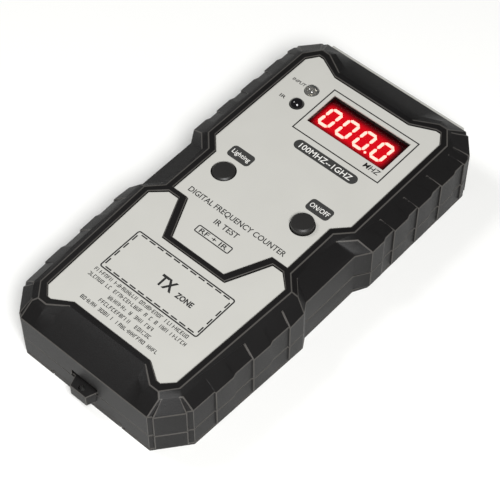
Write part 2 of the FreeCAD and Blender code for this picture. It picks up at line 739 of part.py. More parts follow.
def make_lamps():
    base = "label_top + lamp_proud - lamp_tall"
    for label, (x, y) in zip(("ir_receiver", "input_lamp"), LAMPS):
        make_lamp(label, (x, y, base), f"{base} - board_top")
    for label, (x, z) in zip(("torch_lamp_right", "torch_lamp_left"), TORCHES):
        base = "(lug_end - lamp_tall)"
        body = make_lamp(label, (x, base, z), f"{base} - module_y - module_high/2 - pin_pitch/4")
        body.Placement.Rotation = FreeCAD.Rotation(FreeCAD.Vector(1, 0, 0), -90)


# ---------------------------------------------------------------- circuit board

def make_main_board():
    body = new_part("main_board")
    add(body, [rectangle("-board_half", "-board_near_y", "board_half", "board_far_y")],
        "board_z", "board_top")
    cut(body, discs(BOARD_SCREWS, "board_screw + slide_fit"), "board_z", "board_top")
    cut(body, discs(module_pins(), "pin_radius + slide_fit"), "board_z", "board_top")


def make_chip(label, place, wide, deep, tall, pins):
    """A surface-mount chip: a moulded body on two rows of legs."""
    body = new_part(label, place)
    legs = [
        centred(f"-chip_pitch*{pins - 1}/2", f"{side}({deep} + chip_leg)/2", "chip_pitch/3", "chip_leg")
        for side in ("", "-")
    ]
    row = add(body, legs, "0", f"{tall}/2")
    repeat(body, row, "chip_pitch", pins)
    add(body, [centred("0", "0", wide, deep)], "chip_lift", tall)


def make_crystal():
    body = new_part("crystal", ("crystal_x", "chip_y", "board_top"))
    add(body, [centred("0", "0", "crystal_wide", "crystal_deep")], "0", "crystal_tall")
    round_edges(body, "crystal_deep/2.05", FreeCAD.Vector(0, 0, 1))


def make_resistors():
    body = new_part("resistors", ("-resistor_x", "chip_y", "board_top"))
    first = add(body, [centred("0", "0", "resistor_wide", "resistor_long")], "0", "resistor_tall")
    repeat(body, first, "resistor_pitch", 4)


def make_capacitors():
    body = new_part("capacitors", ("capacitor_x", "chip_y", "board_top"))
    places = [("0", "-capacitor_pitch/2"), ("0", "capacitor_pitch/2")]
    add(body, discs(places, "capacitor_radius"), "0", "capacitor_tall")


def make_regulator():
    body = new_part("regulator", ("-capacitor_x", "prescaler_y", "board_top"))
    add(body, [disc("0", "0", "regulator_radius")], "regulator_lift", "regulator_lift + regulator_tall")
    flat = "-regulator_radius/2"
    cut(body, [rectangle("-regulator_radius", "-regulator_radius", "regulator_radius", flat)],
        "regulator_lift", "regulator_lift + regulator_tall")
    legs = [centred(f"{column}*lead_spread", "0", "lead_wire", "lead_wire") for column in (-1, 0, 1)]
    add(body, legs, "0", "regulator_lift")


def make_pickup():
    """The pickup coil: a ferrite core, its winding and the two clips that hold it on the board."""
    axis = ("-coil_y", "board_top + coil_outer + coil_clear")
    core = new_part("pickup_core")
    add(core, [disc(*axis, "coil_core")], "-core_long/2", "core_long/2", "YZ_Plane")
    winding = new_part("pickup_winding")
    add(winding, [disc(*axis, "coil_outer"), disc(*axis, "coil_core + contact")],
        "-coil_long/2", "coil_long/2", "YZ_Plane")
    for label, side in (("core_clip_right", "coil_long/2 + coil_clear"),
                        ("core_clip_left", "-(coil_long/2 + coil_clear + clip_wide)")):
        clip = new_part(label)
        add(clip, [centred("-coil_y", "(board_top + coil_outer/2)", "2*coil_outer", "coil_outer")],
            side, f"{side} + clip_wide", "YZ_Plane")
        cut(clip, [disc(*axis, "coil_core + contact")], side, f"{side} + clip_wide", "YZ_Plane")


# ---------------------------------------------------------------- screws

def make_case_screws():
    body = new_part("case_screws")
    head_low = "head_depth - head_thick"
    add(body, discs(CASE_SCREWS, "case_screw_head"), head_low, "head_depth")
    add(body, discs(CASE_SCREWS, "case_screw"), "head_depth", "head_depth + case_screw_long")
    slots = [centred(x, y, "case_screw_head*1.3", "case_screw_head*0.3") for x, y in CASE_SCREWS]
    cut(body, slots, head_low, f"{head_low} + head_thick/2")
    slots = [centred(x, y, "case_screw_head*0.3", "case_screw_head*1.3") for x, y in CASE_SCREWS]
    cut(body, slots, head_low, f"{head_low} + head_thick/2")


def make_board_screws():
    body = new_part("board_screws")
    add(body, discs(BOARD_SCREWS, "board_screw_head"), "board_z - head_thick", "board_z")
    add(body, discs(BOARD_SCREWS, "board_screw"), "board_z", "board_z + board_screw_long")


# ---------------------------------------------------------------- battery

def posts(extra):
    """The small and the large terminal, side by side."""
    return [
        disc("post_spread", "post_z", f"post_radius + {extra}"),
        disc("-post_spread", "post_z", f"post_radius*1.25 + {extra}"),
    ]


def make_battery():
    body = new_part("battery", ("0", "0", "floor_thick"))
    add(body, [rectangle("-battery_wide/2", "-battery_near", "battery_wide/2", "-battery_far")],
        "0", "battery_tall")
    round_edges(body, "battery_corner", FreeCAD.Vector(0, 1, 0))
    terminals = new_part("battery_terminals")
    add(terminals, posts("0"), "-battery_far", "-battery_far + post_tall", "XZ_Plane")


def make_snap():
    body = new_part("battery_snap")
    near = "(snap_stand - battery_far)"
    add(body, [centred("0", "post_z", "snap_wide", "snap_tall")], near, f"{near} + snap_thick", "XZ_Plane")
    cut(body, posts("post_fit"), near, "-battery_far + post_tall + post_fit", "XZ_Plane")


def make_lead(label, side):
    """A lead from the snap to the board: straight out, then one bend down to its pad."""
    run = "(snap_far + wire_radius + moving_gap - board_near_y - wire_bend)"
    body = new_part(label, (f"{side}wire_x", "-snap_far", "board_top + wire_bend"))
    bend = value("wire_bend")
    corner = FreeCAD.Vector(value(run), 0, 0)
    circle = Part.Circle(corner - FreeCAD.Vector(0, bend, 0), FreeCAD.Vector(0, 0, 1), bend)
    path = make_sketch(body, [], "0", "YZ_Plane")
    quarter = Part.ArcOfCircle(circle, 0, math.pi/2)
    path.addGeometry([Part.LineSegment(FreeCAD.Vector(), corner), quarter], False)
    path.addConstraint(Sketcher.Constraint("Coincident", 0, 2, 1, 2))
    pin(path, 0, 1, "0", "0")
    pin(path, 0, 2, run, "0")
    pin(path, 1, 3, run, "-wire_bend")
    path.addConstraint(Sketcher.Constraint("Horizontal", 1, 1, 1, 3))
    pipe = body.newObject("PartDesign::AdditivePipe", label + "_pipe")
    pipe.Profile = make_sketch(body, [disc("0", "0", "wire_radius")], "0", "XZ_Plane")
    pipe.Spine = (path, ["Edge1", "Edge2"])
    finish(body, pipe, 1)


def make_pads():
    """Foam above the battery, and foam on the door under it."""
    edge = "(battery_wide/2 - pad_margin)"
    near = "-(battery_near - pad_margin)"
    far = "-(battery_far + pad_margin)"
    top = new_part("battery_pad")
    add(top, [rectangle(f"-{edge}", near, edge, far)], "floor_thick + battery_tall", "roof_z")
    low = new_part("door_pad")
    add(low, [rectangle(f"-{edge}", near, edge, far)], "door_thick", "door_thick + door_pad_thick")


# ---------------------------------------------------------------- build and write

def build():
    make_top_case()
    make_bottom_case()
    make_end_panel()
    make_battery_door()
    make_upper_label()
    make_lower_label()
    make_display_window()
    make_display_module()
    make_display_digits()
    make_button("power", "", "0")
    make_button("lighting", "-", "latched_drop")
    make_lamps()
    make_main_board()
    make_chip("microcontroller", ("0", "chip_y", "board_top"), "micro_wide", "micro_deep", "micro_tall", 14)
    make_chip("prescaler", ("0", "prescaler_y", "board_top"), "scaler_wide", "scaler_deep", "scaler_tall", 4)
    make_crystal()
    make_resistors()
    make_capacitors()
    make_regulator()
    make_pickup()
    make_case_screws()
    make_board_screws()
    make_battery()
    make_snap()
    make_lead("lead_positive", "")
    make_lead("lead_negative", "-")
    make_pads()


def check():
    """Stop before anything is written if a feature failed or a shape is not sound."""
    failed = [item.Name for item in doc.Objects if {"Invalid", "Error"} & set(item.State)]
    if failed:
        raise ValueError(f"failed features: {failed}")
    for part in parts:
        if part.Shape.isNull() or not part.Shape.isValid():
            raise ValueError(f"{part.Label} has no sound shape")
        box = part.Shape.BoundBox
        print(f"{part.Label}: {len(part.Shape.Solids)} solid(s), {part.Shape.Volume:.1f} mm3,"
              f" Z {box.ZMin:.2f} to {box.ZMax:.2f}")


build()
doc.recompute()
check()
os.makedirs("parts", exist_ok=True)
for part in parts:
    part.Shape.exportStep(f"parts/{part.Label}.step")
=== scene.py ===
import math

import bmesh
import bpy
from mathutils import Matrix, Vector


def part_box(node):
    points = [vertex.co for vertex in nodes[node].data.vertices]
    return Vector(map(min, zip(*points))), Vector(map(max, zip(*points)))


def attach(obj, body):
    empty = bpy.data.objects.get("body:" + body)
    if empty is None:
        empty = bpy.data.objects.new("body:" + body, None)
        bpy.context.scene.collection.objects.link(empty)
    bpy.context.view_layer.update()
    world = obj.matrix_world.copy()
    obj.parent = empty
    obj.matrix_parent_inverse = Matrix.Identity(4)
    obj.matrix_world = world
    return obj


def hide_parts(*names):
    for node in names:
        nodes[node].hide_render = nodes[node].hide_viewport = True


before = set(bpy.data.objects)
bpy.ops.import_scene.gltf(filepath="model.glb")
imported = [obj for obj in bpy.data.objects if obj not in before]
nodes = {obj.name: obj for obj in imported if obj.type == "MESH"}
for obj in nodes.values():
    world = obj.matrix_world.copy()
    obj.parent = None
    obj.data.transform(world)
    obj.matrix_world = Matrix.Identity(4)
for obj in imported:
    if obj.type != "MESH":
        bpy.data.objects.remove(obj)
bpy.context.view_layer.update()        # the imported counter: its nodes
mm = 0.001
joinWithin = 0.001 * mm  # corners nearer than this are one

bpy.context.scene.view_settings.view_transform = "Standard"


# an sRGB hex value as the linear colour that shaders work in
def hexColour(code):
    channels = [int(code[i:i + 2], 16) / 255 for i in (0, 2, 4)]
    return (*[c / 12.92 if c <= 0.04045 else ((c + 0.055) / 1.055) ** 2.4 for c in channels], 1.0)


# fills a node's inputs with values or with other nodes' outputs
def fillInputs(tree, node, inputs):
    for key, value in inputs.items():
        if isinstance(value, bpy.types.NodeSocket):
            tree.links.new(value, node.inputs[key])
        else:
            node.inputs[key].default_value = value


# adds a node, sets its settings, then fills its inputs
def addNode(tree, kind, inputs=None, **settings):
    node = tree.nodes.new(kind)
    for name, value in settings.items():
        setattr(node, name, value)
    fillInputs(tree, node, inputs or {})
    return node


# one step of arithmetic on two values, and the same for vectors
def figure(tree, first, second, operation="MULTIPLY"):
    return addNode(tree, "ShaderNodeMath", {0: first, 1: second}, operation=operation).outputs[0]


def vectorFigure(tree, first, second, operation):
    return addNode(tree, "ShaderNodeVectorMath", {0: first, 1: second}, operation=operation).outputs[0]


# noise with features about as large as size
def noise(tree, spot, size, detail=2.0, roughness=0.5):
    return addNode(tree, "ShaderNodeTexNoise", {"Vector": spot, "Scale": 1 / size, "Detail": detail,
                                                "Roughness": roughness}).outputs["Fac"]


# a value that runs from start to end, made to run from low to high
def ranged(tree, value, low=0.0, high=1.0, start=0.0, end=1.0, **settings):
    return addNode(tree, "ShaderNodeMapRange", {"Value": value, "From Min": start, "From Max": end,
                                                "To Min": low, "To Max": high}, **settings).outputs["Result"]


# two colours mixed by a factor; the first may be another node's output
def blend(tree, factor, first, second):
    if not isinstance(first, bpy.types.NodeSocket):
        first = hexColour(first)
    return addNode(tree, "ShaderNodeMix", {"Factor": factor, "A": first, "B": hexColour(second)},
                   data_type="RGBA").outputs["Result"]


def bumped(tree, height, strength, distance):
    return addNode(tree, "ShaderNodeBump", {"Height": height, "Strength": strength,
                                            "Distance": distance}).outputs["Normal"]


# a new material with its tree, its surface and the place on the piece
def startMaterial(name):
    material = bpy.data.materials.new(name)
    material.use_nodes = True
    tree = material.node_tree
    spot = addNode(tree, "ShaderNodeTexCoord").outputs["Object"]
    return material, tree, tree.nodes["Principled BSDF"], spot


def paint(thing, material):
    thing.data.materials.clear()
    thing.data.materials.append(material)


def addToScene(thing):
    bpy.context.scene.collection.objects.link(thing)
    return thing


# low corner, high corner and middle of a node, in metres
def place(node):
    low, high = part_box(node)
    return low, high, (low + high) / 2


# a node's own shape with its corners joined, ready to work on
def shellOf(node):
    shell = bmesh.new()
    shell.from_mesh(nodes[node].data)
    bmesh.ops.remove_doubles(shell, verts=shell.verts, dist=joinWithin)
    return shell


# low and high corner of each separate solid of a shell
def solidBoxes(shell):
    left, found = set(shell.verts), []
    while left:
        island, edge = set(), [left.pop()]
        while edge:
            vert = edge.pop()
            island.add(vert)
            for line in vert.link_edges:
                other = line.other_vert(vert)
                if other in left:
                    left.discard(other)
                    edge.append(other)
        points = [vert.co for vert in island]
        found.append((Vector([min(p[i] for p in points) for i in range(3)]),
                      Vector([max(p[i] for p in points) for i in range(3)])))
    return found


def sheetMesh(name, sheet):
    mesh = bpy.data.meshes.new(name)
    sheet.to_mesh(mesh)
    sheet.free()
    return mesh


def addPiece(name, mesh, material, body, stands=()):
    mesh.name = name
    piece = addToScene(bpy.data.objects.new(name, mesh))
    paint(piece, material)
    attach(piece, body)
    if stands:
        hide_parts(*stands)
    return piece


# a mesh as its modifiers leave it
def settled(thing):
    bpy.context.view_layer.update()
    mesh = bpy.data.meshes.new_from_object(thing.evaluated_get(bpy.context.evaluated_depsgraph_get()))
    bpy.data.objects.remove(thing)
    return mesh


# The camera looks down on the near right corner; one round soft lamp stands above it on either side.
view = {
    "place": (221.86, -249.43, 452.36),   # mm from the middle of the underside
    "towards": (-0.39542, 0.44582, -0.80305),
    "lens": 122.4, "sensor": 36,          # mm
    "nearest": 10,                        # mm, where the view starts
}
studio = {
    "floor": "F8F8F6", "floorSize": 6.0, "floorBelow": 0.05,   # m, mm
    "floorRough": (0.75, 0.85), "floorPatch": 1 / 3,           # m
    "world": "FFFFFF", "worldPower": 0.1,
    "lamps": {  # place mm, size mm, power W, aimed at the counter
        "key": ((600, -470, 960), 560, 17.6),
        "fill": ((-700, -160, 900), 400, 3.5),
    },
}

camera = addToScene(bpy.data.objects.new("camera", bpy.data.cameras.new("camera")))
camera.data.lens = view["lens"]
camera.data.sensor_width = view["sensor"]
camera.data.clip_start = view["nearest"] * mm
camera.location = Vector(view["place"]) * mm
camera.rotation_euler = Vector(view["towards"]).to_track_quat("-Z", "Y").to_euler()
bpy.context.scene.camera = camera

world = bpy.data.worlds.new("studio")
world.use_nodes = True
fillInputs(world.node_tree, world.node_tree.nodes["Background"],
           {"Color": hexColour(studio["world"]), "Strength": studio["worldPower"]})
bpy.context.scene.world = world

for name, (spot, size, power) in studio["lamps"].items():
    lamp = bpy.data.lights.new(name, "AREA")
    lamp.shape = "DISK"
    lamp.size = size * mm
    lamp.energy = power
    holder = addToScene(bpy.data.objects.new(name, lamp))
    holder.location = Vector(spot) * mm
    holder.rotation_euler = (-holder.location).to_track_quat("-Z", "Y").to_euler()


# painted studio board: matt, nearly white, a trace of unevenness
def studioBoard():
    material, tree, surface, spot = startMaterial("painted_studio_board")
    cloud = noise(tree, spot, studio["floorPatch"])
    fillInputs(tree, surface, {"Roughness": ranged(tree, cloud, *studio["floorRough"]),
                               "Base Color": hexColour(studio["floor"])})
    return material


half = studio["floorSize"] / 2
floorMesh = bpy.data.meshes.new("floor")
floorMesh.from_pydata([(-half, -half, 0), (half, -half, 0), (half, half, 0), (-half, half, 0)], [],
                      [(0, 1, 2, 3)])
floor = addToScene(bpy.data.objects.new("floor", floorMesh))
floor.location.z = -studio["floorBelow"] * mm
paint(floor, studioBoard())
print("stage: camera, floor and light")


# Injection-moulded plastic. The tool's spark-eroded skin leaves an even grain that breaks up the
# reflections, the flow of the melt leaves faint patches, and rounded outer corners take a lighter
# colour: partly wear, partly a painted highlight along the edge.
mould = {"flow": 22, "patches": (0.3, 0.7), "skin": 0.3, "ior": 1.52}   # flow in mm, skin in grains


def mouldedPlastic(name, look):
    material, tree, surface, spot = startMaterial(name)
    grain = noise(tree, spot, look["grain"] * mm, 3.0, 0.6)
    flow = noise(tree, spot, mould["flow"] * mm, 3.0)
    patch = ranged(tree, flow, start=mould["patches"][0], end=mould["patches"][1])
    tone = blend(tree, patch, look["colour"], look["pale"])
    # rounded corner faces: a lighter edge colour, partly wear and partly a painted highlight
    wearAndSheen = addNode(tree, "ShaderNodeAttribute", attribute_name="edgeWearAndSheen").outputs["Fac"]
    fillInputs(tree, surface, {
        "Base Color": blend(tree, figure(tree, wearAndSheen, look["wearAndSheenShare"]), tone, look["edge"]),
        "Roughness": ranged(tree, grain, look["smooth"], look["rough"]),
        "Normal": bumped(tree, grain, look["depth"], look["grain"] * mm * mould["skin"]),
        "IOR": mould["ior"], "Specular IOR Level": look["gloss"]})
    return material


# edge: the lighter colour of rounded corners, part wear and part painted highlight, with its share
plastics = {   # grain in mm
    # black ABS, moulded in a spark-eroded tool; grain drawn at 0.35 mm so that it shows
    "abs_black_moulded": dict(colour="121111", pale="171616", edge="625F5B", wearAndSheenShare=0.55, grain=0.35,
                              smooth=0.36, rough=0.54, depth=0.5, gloss=0.19),
    # black ABS of the push caps, finer and a little glossier
    "abs_cap_moulded": dict(colour="1F1E1D", pale="252423", edge="4A4947", wearAndSheenShare=0.4, grain=0.25,
                            smooth=0.36, rough=0.5, depth=0.35, gloss=0.5),
    # light grey ABS end panel
    "abs_grey_moulded": dict(colour="A9A8A3", pale="B3B2AD", edge="C8C7C2", wearAndSheenShare=0.4, grain=0.35,
                             smooth=0.42, rough=0.58, depth=0.4, gloss=0.5),
    # glass-filled black polybutylene of the display module, switch stems and snap
    "pbt_black_moulded": dict(colour="101010", pale="181818", edge="303030", wearAndSheenShare=0.3, grain=0.4,
                              smooth=0.45, rough=0.62, depth=0.4, gloss=0.5),
    # natural nylon clips and switch bodies
    "nylon_white_moulded": dict(colour="CFCDC2", pale="DAD8CE", edge="E4E2DA", wearAndSheenShare=0.3, grain=0.4,
                                smooth=0.35, rough=0.5, depth=0.3, gloss=0.5),
    # black epoxy resin round the regulator, dull from the mould release
    "epoxy_black_moulded": dict(colour="141414", pale="1E1D1C", edge="343332", wearAndSheenShare=0.3, grain=0.18,
                                smooth=0.5, rough=0.68, depth=0.5, gloss=0.5),
    # sintered ferrite: dark grey, gritty
    "ferrite_sintered": dict(colour="2A2A2C", pale="38383A", edge="4A4A4C", wearAndSheenShare=0.5, grain=0.2,
                             smooth=0.55, rough=0.8, depth=0.8, gloss=0.5),
    # wire insulation, soft PVC extruded smooth
    "pvc_red_extruded": dict(colour="A81414", pale="BC1C18", edge="C83028", wearAndSheenShare=0.2, grain=0.5,
                             smooth=0.3, rough=0.42, depth=0.15, gloss=0.5),
    "pvc_black_extruded": dict(colour="121212", pale="1A1A1A", edge="2A2A2A", wearAndSheenShare=0.2, grain=0.5,
                               smooth=0.3, rough=0.42, depth=0.15, gloss=0.5),
}
finish = {name: mouldedPlastic(name, look) for name, look in plastics.items()}
print("stage: moulded plastics")


# Screen-printed polycarbonate overlay: a warm grey ink under a velvet texture, faint mottle.
def overlayFilm(look):
    material, tree, surface, spot = startMaterial("polycarbonate_overlay_printed")
    velvet = noise(tree, spot, look["velvet"] * mm)
    mottle = noise(tree, spot, look["mottle"] * mm, 4.0)
    fillInputs(tree, surface, {
        "Base Color": blend(tree, mottle, look["colour"], look["pale"]),
        "Roughness": ranged(tree, velvet, look["smooth"], look["rough"]),
        "Normal": bumped(tree, velvet, 0.25, look["skin"] * mm), "IOR": 1.58})
    return material


# Screen-printing ink: a thin even film with a slight mesh-count grain.
def printedInk(name, look):
    material, tree, surface, spot = startMaterial(name)
    mesh = noise(tree, spot, look["mesh"] * mm)
    fillInputs(tree, surface, {"Base Color": blend(tree, mesh, look["colour"], look["pale"]),
                               "Roughness": look["rough"]})
    return material


finish["overlay"] = overlayFilm(dict(colour="BDBCB6", pale="C4C3BD", velvet=0.22, mottle=14, skin=0.02,
                                     smooth=0.46, rough=0.6))
inks = {
    "ink_dark": dict(colour="161616", pale="202020", rough=0.55, mesh=0.3),
    "ink_charcoal": dict(colour="2E2E2D", pale="383837", rough=0.55, mesh=0.3),
    "ink_white": dict(colour="E6E5E0", pale="F0EFEA", rough=0.5, mesh=0.3),
}
for name, look in inks.items():
    finish[name] = printedInk(name + "_screen_printed", look)
print("stage: overlay and inks")


# Red acrylic filter over the lit display. Its glow is painted light: the filter emits in place of
# the display's light shining through it, round the digits, and falls dark away from them as painted
# shade; some light comes straight through, so lit bars stay pale.
def redFilter(look):
    material, tree, surface, spot = startMaterial("acrylic_red_filter_cast")
    low, high, middle = place("display_digits")
    middle += Vector((look["aside"], look["down"], 0)) * mm
    size = high - low - 2 * Vector((look["inside"], look["inside"], 0)) * mm
    centred = addNode(tree, "ShaderNodeMapping", {"Vector": spot, "Location": -middle}).outputs[0]
    away = addNode(tree, "ShaderNodeVectorMath", {0: centred}, operation="ABSOLUTE").outputs[0]
    past = vectorFigure(tree, away, (size.x / 2, size.y / 2, 1.0), "SUBTRACT")
    outside = vectorFigure(tree, past, (0, 0, 0), "MAXIMUM")
    reach = addNode(tree, "ShaderNodeVectorMath", {0: outside}, operation="LENGTH").outputs["Value"]
    # painted shade: the painted glow darkens away from the lit digits
    fade = ranged(tree, reach, end=look["fade"] * mm, interpolation_type="SMOOTHERSTEP")
    cloud = noise(tree, spot, look["cloud"] * mm, 3.0)
    stirred = figure(tree, fade, ranged(tree, cloud, -look["stir"], look["stir"]), "ADD")
    ramp = addNode(tree, "ShaderNodeValToRGB", {"Fac": stirred})
    stops = ramp.color_ramp.elements
    stops[0].color = hexColour(look["bright"])
    stops[1].color = hexColour(look["dark"])
    stops.new(0.5).color = hexColour(look["middle"])
    fillInputs(tree, surface, {
        "Emission Color": ramp.outputs["Color"], "Emission Strength": look["glow"],
        "Base Color": hexColour(look["tint"]), "Roughness": 0.18, "IOR": 1.49, "Alpha": look["alpha"]})
    return material


# Lit bars of the display: a diffused cream light, a touch uneven along each bar.
def litBars(look):
    material, tree, surface, spot = startMaterial("resin_lit_diffused")
    cloud = noise(tree, spot, look["cloud"] * mm, 1.0)
    fillInputs(tree, surface, {
        "Emission Color": blend(tree, cloud, look["colour"], look["pale"]), "Emission Strength": look["glow"],
        "Base Color": hexColour(look["colour"]), "Roughness": 0.6})
    return material


# Clear or black-dyed epoxy lamp body, cast smooth.
def castLamp(name, look):
    material, tree, surface, spot = startMaterial(name)
    swirl = noise(tree, spot, look["swirl"] * mm)
    fillInputs(tree, surface, {
        "Base Color": blend(tree, swirl, look["colour"], look["pale"]),
        "Roughness": ranged(tree, swirl, 0.03, 0.1),
        "Transmission Weight": look["clear"], "IOR": 1.53})
    return material


# Drawn or stamped metal: fine scratches one way, brighter where they catch the light.
def workedMetal(name, look):
    material, tree, surface, spot = startMaterial(name)
    drawn = addNode(tree, "ShaderNodeMapping", {"Vector": spot, "Scale": look["along"]}).outputs[0]
    lines = noise(tree, drawn, look["grain"] * mm, 3.0)
    fillInputs(tree, surface, {
        "Base Color": blend(tree, lines, look["colour"], look["pale"]),
        "Roughness": ranged(tree, lines, look["smooth"], look["rough"]),
        "Normal": bumped(tree, lines, 0.2, look["scratch"] * mm), "Metallic": 1.0})
    return material


metals = {   # grain and scratch in mm, along as a stretch of the grain in each direction
    "steel_black_oxide": dict(colour="2B2B2D", pale="45454A", grain=0.3, along=(1, 1, 0.3), smooth=0.3,
                              rough=0.5, scratch=0.02),
    "steel_tinned": dict(colour="A6A6A4", pale="C4C4C0", grain=0.3, along=(1, 1, 0.3), smooth=0.22,
                         rough=0.4, scratch=0.02),
    "nickel_plated_stamped": dict(colour="B9B4A8", pale="D2CDC0", grain=0.4, along=(1, 0.3, 1), smooth=0.16,
                                  rough=0.32, scratch=0.02),
    "copper_enamelled_drawn": dict(colour="A8552A", pale="C4703C", grain=0.3, along=(1, 0.2, 0.2),
                                   smooth=0.2, rough=0.34, scratch=0.02),
}
for name, look in metals.items():
    finish[name] = workedMetal(name, look)

finish["filter"] = redFilter(dict(   # sizes in mm, from the middle and the edge of the lit digits
    bright="DE0216", middle="8E010E", dark="120001", tint="180002", fade=3.6, inside=0.9, aside=0.5,
    down=-0.9, cloud=1.6, stir=0.12, glow=1.1, alpha=0.62))
finish["lit"] = litBars(dict(colour="FFEFD6", pale="FFF6E6", glow=6.5, cloud=1.5))
finish["lamp_clear"] = castLamp("epoxy_clear_cast", dict(colour="E8E8E6", pale="F4F4F2", clear=0.92, swirl=2))
finish["lamp_dark"] = castLamp("epoxy_black_cast", dict(colour="0C0B0C", pale="151316", clear=0.0, swirl=2))
print("stage: metals, filter and lamps")


# Glass-epoxy board under green solder mask: traces show as raised paler lines between darker runs.
def solderMask(look):
    material, tree, surface, spot = startMaterial("glass_epoxy_solder_masked")
    runs = addNode(tree, "ShaderNodeTexBrick", {
        "Vector": spot, "Scale": 1 / (look["runs"] * mm), "Mortar Size": look["gap"],
        "Color1": hexColour(look["colour"]), "Color2": hexColour(look["pale"]),
        "Mortar": hexColour(look["trace"])})
    weave = noise(tree, spot, look["weave"] * mm)
    fillInputs(tree, surface, {
        "Base Color": runs.outputs["Color"], "Roughness": ranged(tree, weave, 0.22, 0.38),
        "Normal": bumped(tree, runs.outputs["Fac"], 0.3, look["skin"] * mm)})
    return material


# Closed-cell foam cut from sheet: open pores at the cut, no gloss.
def cutFoam(look):
    material, tree, surface, spot = startMaterial("polyethylene_foam_cut")
    cells = addNode(tree, "ShaderNodeTexVoronoi", {"Vector": spot, "Scale": 1 / (look["cell"] * mm)})
    pore = cells.outputs["Distance"]
    fillInputs(tree, surface, {
        "Base Color": blend(tree, pore, look["colour"], look["pale"]), "Roughness": 0.92,
        "Normal": bumped(tree, pore, 0.6, look["pit"] * mm)})
    return material


# One body of resin with tinned metal past a plane: a mask by place parts the two. The plane lies
# some mm from the node's middle along one axis, on one side or, as both ends, on either side.
def resinAndMetal(name, node, look):
    material, tree, surface, spot = startMaterial(name)
    middle = place(node)[2]
    centred = addNode(tree, "ShaderNodeMapping", {"Vector": spot, "Location": -middle}).outputs[0]
    if look["bothEnds"]:
        centred = addNode(tree, "ShaderNodeVectorMath", {0: centred}, operation="ABSOLUTE").outputs[0]
    axes = addNode(tree, "ShaderNodeSeparateXYZ", {0: centred})
    metal = figure(tree, axes.outputs[look["axis"]], look["past"] * mm, "GREATER_THAN")
    resin = blend(tree, noise(tree, spot, 0.3 * mm), look["colour"], look["pale"])
    fillInputs(tree, surface, {"Base Color": blend(tree, metal, resin, look["metal"]), "Metallic": metal,
                               "Roughness": ranged(tree, metal, 0.55, 0.3)})
    return material


finish["board"] = solderMask(dict(colour="0C4A26", pale="0E5A2E", trace="1C7A40", runs=9, gap=0.04, weave=0.5,
                                  skin=0.05))
finish["foam"] = cutFoam(dict(colour="2E2E30", pale="4A4A4C", cell=0.6, pit=0.15))
twoPart = {   # finish: name, node, then what it looks like
    "chip": ("epoxy_chip_with_tinned_legs", "microcontroller",
             dict(axis="Y", bothEnds=True, past=3.8, colour="141414", pale="1E1D1C", metal="B8B8B4")),
    "scaler": ("epoxy_small_chip_with_tinned_legs", "prescaler",
               dict(axis="Y", bothEnds=True, past=2.05, colour="141414", pale="1E1D1C", metal="B8B8B4")),
    "resistor": ("alumina_resistor_with_tinned_ends", "resistors",
                 dict(axis="Y", bothEnds=True, past=1.15, colour="101010", pale="1C1C1C", metal="B4B4B0")),
    "capacitor": ("pvc_sleeve_on_drawn_can", "capacitors",
                  dict(axis="Z", bothEnds=False, past=3.3, colour="14203A", pale="1A2846", metal="C4C4C2")),
    "jacket": ("steel_battery_jacket_lacquered", "battery",
               dict(axis="Y", bothEnds=False, past=8.0, colour="1C1C1E", pale="242426", metal="A86A34")),
}
for name, (title, node, look) in twoPart.items():
    finish[name] = resinAndMetal(title, node, look)
print("stage: board, foam and resin parts")


# Rounding in mm and degrees: edges past cornerFrom are corners, unless shorter than a share of the
# radius. Flat facets stay crisp past the first crease, hollows past the second, rounded corners
# past the third.
rounding = {"cornerFrom": 22, "shortest": 0.8, "steps": 3, "creases": (12, 35, 50), "crumb": 0.0005}
softEdges = {  # node: radius mm, body, slot, plastic
    "top_case": (0.25, "case", "case_black", "abs_black_moulded"),
    "bottom_case": (0.25, "case", "case_black", "abs_black_moulded"),
    "battery_door": (0.25, "door", "case_black", "abs_black_moulded"),
    "end_panel": (0.25, "case", "panel_grey", "abs_grey_moulded"),
    "power_cap": (0.0, "power_button", "cap_black", "abs_cap_moulded"),
    "lighting_cap": (0.0, "lighting_button", "cap_black", "abs_cap_moulded"),
}


# rounds a shell's outer corners and marks the new faces for the lighter edge colour, which is
# partly wear and partly a painted highlight
def roundCorners(shell, radius, wearAndSheen):
    corners = [edge for edge in shell.edges
               if len(edge.link_faces) == 2
               and edge.calc_face_angle_signed() > math.radians(rounding["cornerFrom"])
               and edge.calc_length() > radius * rounding["shortest"]]
    cut = bmesh.ops.bevel(shell, geom=corners, offset=radius, offset_type="OFFSET",
                          segments=rounding["steps"], profile=0.5, affect="EDGES", clamp_overlap=False,
                          loop_slide=True)
    for face in cut["faces"]:
        face[wearAndSheen] = 1.0


# smooth shading that keeps flat facets, hollows and rounded corners apart
def creaseEdges(shell, wearAndSheen, rounded):
    facet, hollow, rolled = (math.radians(angle) for angle in rounding["creases"])
    for face in shell.faces:
        face.smooth = True
    for edge in shell.edges:
        if len(edge.link_faces) != 2:
            continue
        turn = edge.calc_face_angle_signed()
        if any(face[wearAndSheen] > 0 for face in edge.link_faces):
            edge.smooth = abs(turn) < rolled
        else:
            edge.smooth = -hollow < turn < (facet if rounded else hollow)


